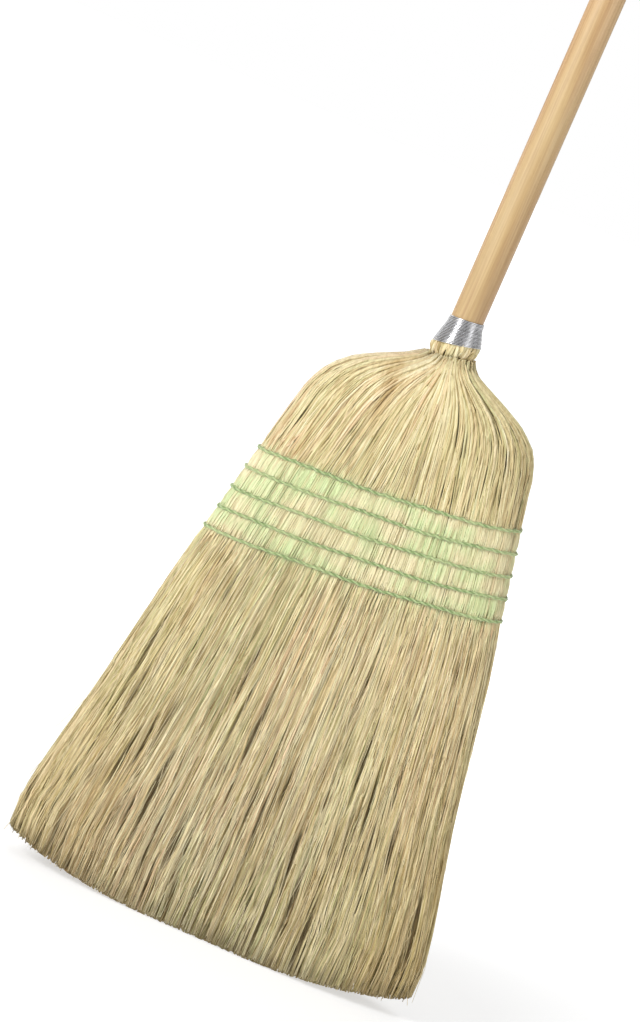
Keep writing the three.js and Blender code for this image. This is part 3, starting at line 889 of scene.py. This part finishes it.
def trim_tips():
    """Cut fibre ends that fill the trim, closest together near its rim, where painted shade is darkest.
    """
    count = 5000
    angle = angle_at(rng.uniform(0, TRIM_ROUND, count))
    inward = 1 - rng.random(count) ** 1.8
    edge = on_outline(angle, np.full(count, TRIM_TOP), 0.002)[0]
    x, y = edge[:, 0] * inward, edge[:, 1] * inward
    low = trim_height(x) + rng.exponential(0.0006, count)
    tip_length = 0.06
    z = spread(low + tip_length, low, np.array([0.0, 0.5, 1.0]))
    lean = 1 - 0.14 * (z - low[:, None]) / tip_length
    paths = np.stack([x[:, None] * lean, y[:, None] * lean, z], axis=-1)
    flat = np.broadcast_to([1.0, 0.0, 0.0], paths.shape)
    radii = rng.uniform(0.0006, 0.0011, count)[:, None] * np.ones(3)
    attributes = {
        "tone": tones(count, 0.5, 0.2),
        "chance": rng.random(count),
        # painted shade on every tip, darkest at the rim: a painted shadow line along the trim
        "deep": 0.3 + 0.5 * inward**6,
    }
    return tubes("trim_tips", paths, radii, flat, 3, attributes)


settle(core_body(), shaded_core_look, "core_straw", "core_front", "core_back", "core_ends")
settle(trim_tips(), cover_look, "cover_straw")

# %% [markdown]
# ## Collar and stray fibres
# Just below the wire the stalk butts bulge out in a short collar. They are the thick ends of the
# plants, so they are wider, paler and fewer than the fibres. One bulging ring with a pattern would be
# lighter, but its edge would be even, where real butts stand out and stop unevenly. So each is a tube
# with a path of its own. Stray fibres stand off the head's edges and break its outline.

# %% Collar
BUTT_COUNT = 150
BUTT_RADIUS = 0.0142  # from the neck's middle to the butts, where they come out of the wire


def collar():
    """Thick stalk butts round the neck: a path for each that bulges out and dives into the crease."""
    count = BUTT_COUNT
    angle = (np.arange(count) + rng.uniform(-0.6, 0.6, count)) / count * 2 * np.pi
    share = np.linspace(0, 1, 9)
    bottom = NECK_Z - rng.uniform(0.0075, 0.0150, count)
    z = spread(np.full(count, NECK_Z + 0.004), bottom, share)
    bulge = rng.uniform(0.0006, 0.0030, count)[:, None] * np.sin(np.pi * share) ** 1.2
    radius = BUTT_RADIUS + bulge - 0.0026 * share**2
    turn = angle[:, None] + rng.normal(0, 0.17, count)[:, None] * share
    paths = np.stack([radius * np.cos(turn), radius * np.sin(turn), z + neck_slant(turn)], axis=-1)
    flat = np.stack([-np.sin(turn), np.cos(turn), 0 * turn], axis=-1)
    taper = np.interp(share, [0, 0.5, 0.85, 1], [0.8, 1.0, 0.8, 0.3])
    radii = rng.uniform(0.0007, 0.0015, count)[:, None] * taper
    attributes = {
        "tone": tones(count, 0.66, 0.2),
        "chance": rng.random(count),
        # some butts darker at random, and painted shade where their lower ends dive into the crease
        "deep": rng.uniform(0.0, 0.3, (count, 1)) ** 1.5 + 0.6 * share[None, :] ** 5,
    }
    return tubes("stalk_collar", paths, radii, flat, 7, attributes)


def strays():
    """Loose fibres that start in the head and curve away from it, most of them low and at the edges."""
    count = 520
    run = rng.uniform(0, TRIM_ROUND, count)
    angle = angle_at(run)
    at_edge = np.abs(np.cos(angle)) > 0.93
    low = rng.random(count) < 0.85
    start = np.where(low, rng.uniform(0.05, 0.27, count), rng.uniform(0.3, 0.42, count))
    end = start - rng.uniform(0.03, 0.1, count)
    end = np.maximum(end, 0.0005 + trim_height(on_outline(angle, start)[0][:, 0]))
    share = np.linspace(0, 1, 8)
    z = spread(start, end, share)
    place, flat, out = on_outline(np.broadcast_to(angle[:, None], z.shape), z, 0.001)
    away = rng.exponential(np.where(at_edge, 0.0030, 0.0012))[:, None] * share**1.7
    aside = rng.normal(0, 0.006, count)[:, None] * share**1.5
    paths = place + np.minimum(away, 0.010)[..., None] * out + aside[..., None] * flat
    radii = rng.uniform(0.0002, 0.00036, count)[:, None] * np.linspace(1, 0.5, 8)
    attributes = {"tone": tones(count, 0.85, 0.12), "chance": rng.random(count), "deep": np.zeros(count)}
    return tubes("stray_fibres", paths, radii, flat, 3, attributes)


settle(collar(), stalk_look, "shoulder_straw", bends=False)
settle(strays(), cover_look, "cover_straw")

# %% [markdown]
# ## Twine
# Each row is a two-ply twine that runs round the head. At every stitch the sewing twine comes up beside
# it, crosses it at a slant and goes down again, and pulls it into the straw there. A pattern could draw
# the ply on a smooth cord, but from close by its outline would stay smooth, so the section itself has
# two lobes and turns along the twine.

# %% Twine
TWINE_RADIUS = 0.00105
STITCH = 0.0138  # from stitch to stitch
PLY_LENGTH = 0.0062  # along the twine, for one whole turn of the two plies
FUZZ_COUNT = 260  # hairs on each row
FUZZ_RADIUS = 0.0001


def round_the_head(number, row_z):
    """The middle line of one row: its places, outward directions and distance run."""
    steps = 720
    angle = angle_at(np.linspace(0, TRIM_ROUND, steps, endpoint=False))
    level = on_outline(angle, np.full(steps, row_z))[0]
    place, _, out = on_outline(angle, row_height(row_z, level[:, 0]))
    run = np.concatenate([[0], np.cumsum(np.linalg.norm(np.diff(place, axis=0), axis=1))])
    stitches = round((run[-1] + run[1]) / STITCH)
    beat = np.pi * stitches * run / (run[-1] + run[1])
    lifted = 0.0005 * np.abs(np.sin(beat)) ** 0.7 - 0.0001
    wavy = 0.00016 * np.sin(2 * beat + number) + 0.0004 * np.sin(0.31 * beat + 2 * number)
    return place + lifted[:, None] * out + wavy[:, None] * [0, 0, 1], out, run


def twine_row(number, row_z):
    """A closed ring whose section has the radius R (1 + 0.2 cos(2 a - twist)); twist grows along it."""
    path, out, run = round_the_head(number, row_z)
    steps, sides = len(path), 10
    around = np.arange(sides) * 2 * np.pi / sides
    plies = round(run[-1] / PLY_LENGTH)
    twist = np.pi * 2 * plies * np.arange(steps) / steps
    lobes = np.cos(2 * around[None, :] - twist[:, None])
    reach = TWINE_RADIUS * (1 + 0.2 * lobes)
    along = unit(np.roll(path, -1, axis=0) - np.roll(path, 1, axis=0))
    side = np.cross(along, out)
    ring = path[:, None] + (reach * np.cos(around))[..., None] * out[:, None]
    ring = ring + (reach * np.sin(around))[..., None] * side[:, None]
    index = np.arange(steps * sides).reshape(steps, sides)
    after, turned = np.roll(index, -1, axis=0), np.roll(index, -1, axis=1)
    walls = np.stack([index, after, np.roll(after, -1, axis=1), turned], axis=-1).reshape(-1, 4)
    # ply_shade is painted shade: 0 where the two plies meet, 1 on their crowns
    return surface(f"twine_{number}", ring.reshape(-1, 3), [walls], {"ply_shade": 0.5 + 0.5 * lobes})


def stitch_loops(number, row_z):
    """A short slanting arch over the twine at every stitch, 4 to 7 mm long: a cosine bump in height."""
    path, out, run = round_the_head(number, row_z)
    count = round((run[-1] + run[1]) / STITCH)
    at = (np.arange(count) + rng.uniform(-0.08, 0.08, count)) * run[-1] / count % run[-1]
    pick = np.searchsorted(run, at) % len(run)
    here, outward = path[pick], out[pick]
    along = unit(np.roll(path, -1, axis=0) - np.roll(path, 1, axis=0))[pick]
    share = np.linspace(-1, 1, 7)
    arch = 0.0015 * np.cos(share * np.pi / 2) - 0.0009
    half_length = rng.uniform(0.0022, 0.0034, count)
    loops = here[:, None] + arch[None, :, None] * outward[:, None]
    loops = loops + (half_length[:, None] * share)[..., None] * along[:, None]
    loops = loops + (0.0010 * share)[None, :, None] * np.array([0, 0, 1.0])
    across = np.cross(unit(np.gradient(loops, axis=1)), outward[:, None])
    radii = np.full((count, 7), TWINE_RADIUS * 0.75)
    # the loops take darker greens: painted shade at each stitch
    return tubes(f"twine_loops_{number}", loops, radii, across, 6, {"ply_shade": rng.uniform(0.1, 0.6, count)})


def twine_fuzz(number, row_z):
    """Fine hairs that stand off the twine, curved like an arch and leaning at random."""
    path, out, _ = round_the_head(number, row_z)
    pick = rng.integers(0, len(path), FUZZ_COUNT)
    share = np.linspace(0, 1, 4)
    lean = rng.normal(0, 1, (len(pick), 3)) * [0.0022, 0.0016, 0.0024]
    arch = (0.0011 * np.sin(share * np.pi))[None, :, None] * out[pick][:, None]
    paths = path[pick][:, None] + share[None, :, None] * lean[:, None] + arch
    across = np.broadcast_to(np.cross(lean, out[pick])[:, None], paths.shape)
    radii = np.full((FUZZ_COUNT, 4), FUZZ_RADIUS)
    return tubes(f"twine_fuzz_{number}", paths, radii, across, 3, {"ply_shade": np.ones(FUZZ_COUNT)})


print("stitches every", STITCH, "m")

# %% [markdown]
# The twine is dyed cotton: matt, with a little sheen, painted darker between its plies and between its
# fibres as shade, and worn pale in places.

# %% Twine material
WORN_TWINE = (0.50, 0.54, 0.28)


def twine_material():
    """Green, with painted shade between the plies and between the cotton's fibres, and worn patches."""
    material, tree, shader = new_material("green_twine")
    fibre = noise(tree, 900.0, detail=4.0)
    # painted shade: the darkest green is for the hollows between the plies
    greens = [(0.0, (0.15, 0.225, 0.075)), (0.5, (0.31, 0.41, 0.17)), (1.0, (0.46, 0.56, 0.29))]
    colour = ramp(tree, read(tree, "ply_shade"), greens)
    # painted shade in the hollows between the cotton's fibres, where the bump is low
    fibre_hollow_shade = ramp(tree, fibre, [(0.3, (0.45, 0.5, 0.4)), (0.7, CLEAN)])
    colour = mix(tree, 0.4, colour, fibre_hollow_shade, "MULTIPLY")
    worn = noise(tree, 30.0, detail=2.0)
    colour = mix(tree, limits(tree, worn, 0.42, 0.62, 0.0, 0.45), colour, WORN_TWINE)
    tree.links.new(colour, shader.inputs["Base Color"])
    shader.inputs["Roughness"].default_value = 0.9
    shader.inputs["Sheen Weight"].default_value = 0.3
    bumped(tree, shader, fibre, 0.6, 0.0002)
    return material


twine_look = twine_material()
for number, row_z in enumerate(ROWS, start=1):
    settle(twine_row(number, row_z), twine_look, "twine", f"stitch_row_{number}", bends=False)
    settle(stitch_loops(number, row_z), twine_look, "twine", bends=False)
    settle(twine_fuzz(number, row_z), twine_look, "twine", bends=False)

# %% [markdown]
# ## Neck wire
# Bright steel wire is wound turn against turn up the tapered stalk ends and on to the bare handle. A
# tapered sleeve with rings drawn on it would be simpler, but only round turns mirror the room as wire
# does. So it is a helix whose radius follows the taper, and the light and dark streaks up the neck come
# from the same place on every turn mirroring the same part of the room.

# %% Wire
WIRE_RADIUS = 0.0005
STEPS_PER_TURN = 60
wire_low, wire_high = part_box("neck_wire")
handle_low, handle_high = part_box("handle")
HANDLE_RADIUS = (handle_high.x - handle_low.x) / 2


def neck_wire():
    """A helix: angle grows evenly with height, and the radius falls from the straw's to the handle's."""
    turns = round((wire_high.z - wire_low.z) / (2 * WIRE_RADIUS)) - 1
    steps = turns * STEPS_PER_TURN + 1
    share = np.linspace(0, 1, steps)
    z = wire_low.z + WIRE_RADIUS + share * (wire_high.z - wire_low.z - 2 * WIRE_RADIUS)
    angle = 2 * np.pi * turns * share
    straw_radius = np.interp(share, [0, 0.3, 0.72, 1], [0.0165, 0.0150, 0.0124, 0.01195])
    radius = straw_radius + WIRE_RADIUS * 0.9 + 0.00012 * np.sin(angle * 0.31)
    slanted = z + NECK_SLANT * (1 - 0.6 * share) * radius * np.cos(angle)
    path = np.stack([radius * np.cos(angle), radius * np.sin(angle), slanted], axis=-1)[None]
    flat = np.broadcast_to([0.0, 0.0, 1.0], path.shape)
    radii = np.full((1, steps), WIRE_RADIUS * 1.03)
    return tubes("neck_wire_winding", path, radii, flat, 10, {"chance": np.array([0.5])})


DULL_STEEL = (0.46, 0.46, 0.46)
BRIGHT_STEEL = (0.68, 0.68, 0.70)


def steel_material(name):
    """Bright steel, duller and rougher where it is scuffed."""
    material, tree, shader = new_material(name)
    scuff = noise(tree, 260.0, (1, 1, 0.3), detail=4.0)
    colour = ramp(tree, scuff, [(0.3, DULL_STEEL), (0.7, BRIGHT_STEEL)])
    tree.links.new(colour, shader.inputs["Base Color"])
    tree.links.new(limits(tree, scuff, 0.3, 0.7, 0.24, 0.14), shader.inputs["Roughness"])
    shader.inputs["Metallic"].default_value = 1.0
    bumped(tree, shader, scuff, 0.15, 0.0001)
    return material


steel_look = steel_material("bright_wire")
settle(neck_wire(), steel_look, "wire_steel", "neck_wire", bends=False)
for name in ("core_wire", "shoulder_wire", "core_tack", "neck_tack"):
    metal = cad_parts[name].data
    metal.materials.clear()
    metal.materials.append(steel_look)

# %% [markdown]
# ## Handle
# The handle is turned from a pale, straight-grained wood and has a thin clear lacquer. The CAD handle
# has flat facets, which would show as stripes in the lacquer. So its profile is carried round the axis
# again, in steps too fine to see.

# %% Handle
POINT_LENGTH = 0.040  # the hidden lower end's taper
POINT_RADIUS = 0.008
END_ROUND = 0.004  # the upper end's rounding


def handle():
    """The CAD handle's profile, radius over height, turned in 96 steps."""
    bend = np.linspace(0, np.pi / 2, 9)
    top_radius = HANDLE_RADIUS - END_ROUND * (1 - np.cos(bend))
    top_z = handle_high.z - END_ROUND * (1 - np.sin(bend))
    length = np.linspace(handle_low.z + POINT_LENGTH, handle_high.z - END_ROUND, 60)[:-1]
    z = np.concatenate([[handle_low.z], length, top_z])
    radius = np.concatenate([[POINT_RADIUS], np.full(len(length), HANDLE_RADIUS), top_radius])
    angle = np.arange(96) * 2 * np.pi / 96
    x = radius[:, None] * np.cos(angle)
    y = radius[:, None] * np.sin(angle)
    return skin("wooden_handle", np.stack([x, y, z[:, None] + 0 * x], axis=-1))


print("handle radius", round(HANDLE_RADIUS, 4), "m, upper end at", round(handle_high.z, 3), "m")

# %% [markdown]
# The wood's grain is noise stretched along the handle in three sizes: the growth rings, fine pores, and
# wide changes from pale to reddish. The lacquer is a thin clear coat, a little rough from use.

# %% Wood
WOOD_TONES = [
    (0.28, (0.34, 0.20, 0.085)),
    (0.45, (0.44, 0.29, 0.13)),
    (0.6, (0.50, 0.355, 0.175)),
    (0.78, (0.55, 0.42, 0.225)),
]
RED_WOOD = (0.56, 0.335, 0.19)
PORE_BROWN = (0.62, 0.52, 0.42)


def wood_material():
    """Grain colours, redder in wide patches, with dark pores, under a thin clear coat."""
    material, tree, shader = new_material("lacquered_wood")
    grain = noise(tree, 95.0, (1, 1, 0.035), detail=5.0, roughness=0.6)
    fine = noise(tree, 700.0, (1, 1, 0.02), detail=3.0)
    wide = noise(tree, 40.0, (1, 1, 0.06), detail=2.0)
    colour = ramp(tree, grain, WOOD_TONES)
    colour = mix(tree, limits(tree, wide, 0.4, 0.65, 0.0, 0.5), colour, RED_WOOD)
    pores = ramp(tree, fine, [(0.35, PORE_BROWN), (0.6, CLEAN)])
    colour = mix(tree, 0.45, colour, pores, "MULTIPLY")
    tree.links.new(colour, shader.inputs["Base Color"])
    tree.links.new(limits(tree, fine, 0.3, 0.7, 0.5, 0.36), shader.inputs["Roughness"])
    shader.inputs["Coat Weight"].default_value = 0.12
    shader.inputs["Coat Roughness"].default_value = 0.4
    bumped(tree, shader, fine, 0.2, 0.0002)
    return material


settle(handle(), wood_material(), "handle_wood", "handle", bends=False)

# %% [markdown]
# ## Room and floor
# The room's walls are brighter in some directions than in others. Straw hardly notices, but bright wire
# is a mirror: the dark sector in front and the bright ones beside it are what it shows as streaks. The
# camera itself sees plain white.

# %% Room
# stops of brightness by compass direction: left 0, front 0.25, right 0.5, back 0.75
ROOM_RING = [(0.0, 0.3), (0.05, 0.5), (0.125, 1.2), (0.175, 0.5), (0.21, 0.08), (0.29, 0.08), (0.34, 0.6)]
ROOM_RING += [(0.39, 1.2), (0.45, 0.4), (0.55, 0.35), (0.75, 0.7), (1.0, 0.3)]
ROOM_STRENGTH = 0.85
world = bpy.data.worlds.new("studio")
bpy.context.scene.world = world
world.use_nodes = True
sky = world.node_tree
sky.nodes.clear()
compass = node(sky, "TexCoord").outputs["Generated"]
turn = node(sky, "TexGradient", {0: compass}, gradient_type="RADIAL").outputs["Fac"]
walls = ramp(sky, turn, [(at, (value, value, value)) for at, value in ROOM_RING])
room = node(sky, "Background", {"Color": walls, "Strength": ROOM_STRENGTH}).outputs[0]
backdrop = node(sky, "Background", {"Color": (1.0, 1.0, 1.0, 1.0)}).outputs[0]
to_camera = node(sky, "LightPath").outputs["Is Camera Ray"]
seen = node(sky, "MixShader", {0: to_camera, 1: room, 2: backdrop}).outputs[0]
node(sky, "OutputWorld", {"Surface": seen})
print("room ring:", len(ROOM_RING), "stops")

# %% [markdown]
# The floor is a wide white disc. It gives off a little light of its own, more further away, so that it
# stays white beyond the lamps' reach and still takes the broom's shadow near by.

# %% Floor
FLOOR_RADIUS = 40.0
GLOW_NEAR, GLOW_FAR = 0.58, 1.0
GLOW_START, GLOW_FULL = 0.25, 1.1  # distances from the broom


def floor():
    """A disc of 96 points round its middle."""
    angle = np.arange(96) * 2 * np.pi / 96
    rim = np.stack([FLOOR_RADIUS * np.cos(angle), FLOOR_RADIUS * np.sin(angle), 0 * angle], axis=-1)
    points = np.vstack([[[0, 0, 0]], rim])
    ring = np.arange(1, 97)
    faces = np.stack([np.zeros(96, int), ring, np.roll(ring, -1)], axis=-1)
    piece = surface("floor", points, [faces], smooth=False)
    material, tree, shader = new_material("white_floor")
    grain = noise(tree, 3.0)
    colour = ramp(tree, grain, [(0.3, (0.50, 0.50, 0.50)), (0.7, (0.52, 0.52, 0.52))])
    tree.links.new(colour, shader.inputs["Base Color"])
    shader.inputs["Roughness"].default_value = 1.0
    shader.inputs["Specular IOR Level"].default_value = 0.0
    shader.inputs["Emission Color"].default_value = (1.0, 1.0, 1.0, 1.0)
    place = node(tree, "TexCoord").outputs["Object"]
    reach = node(tree, "VectorMath", {0: place}, operation="LENGTH").outputs["Value"]
    glow = limits(tree, reach, GLOW_START, GLOW_FULL, GLOW_NEAR, GLOW_FAR)
    tree.links.new(glow, shader.inputs["Emission Strength"])
    piece.data.materials.append(material)
    return piece


floor()
print("floor radius", FLOOR_RADIUS, "m")
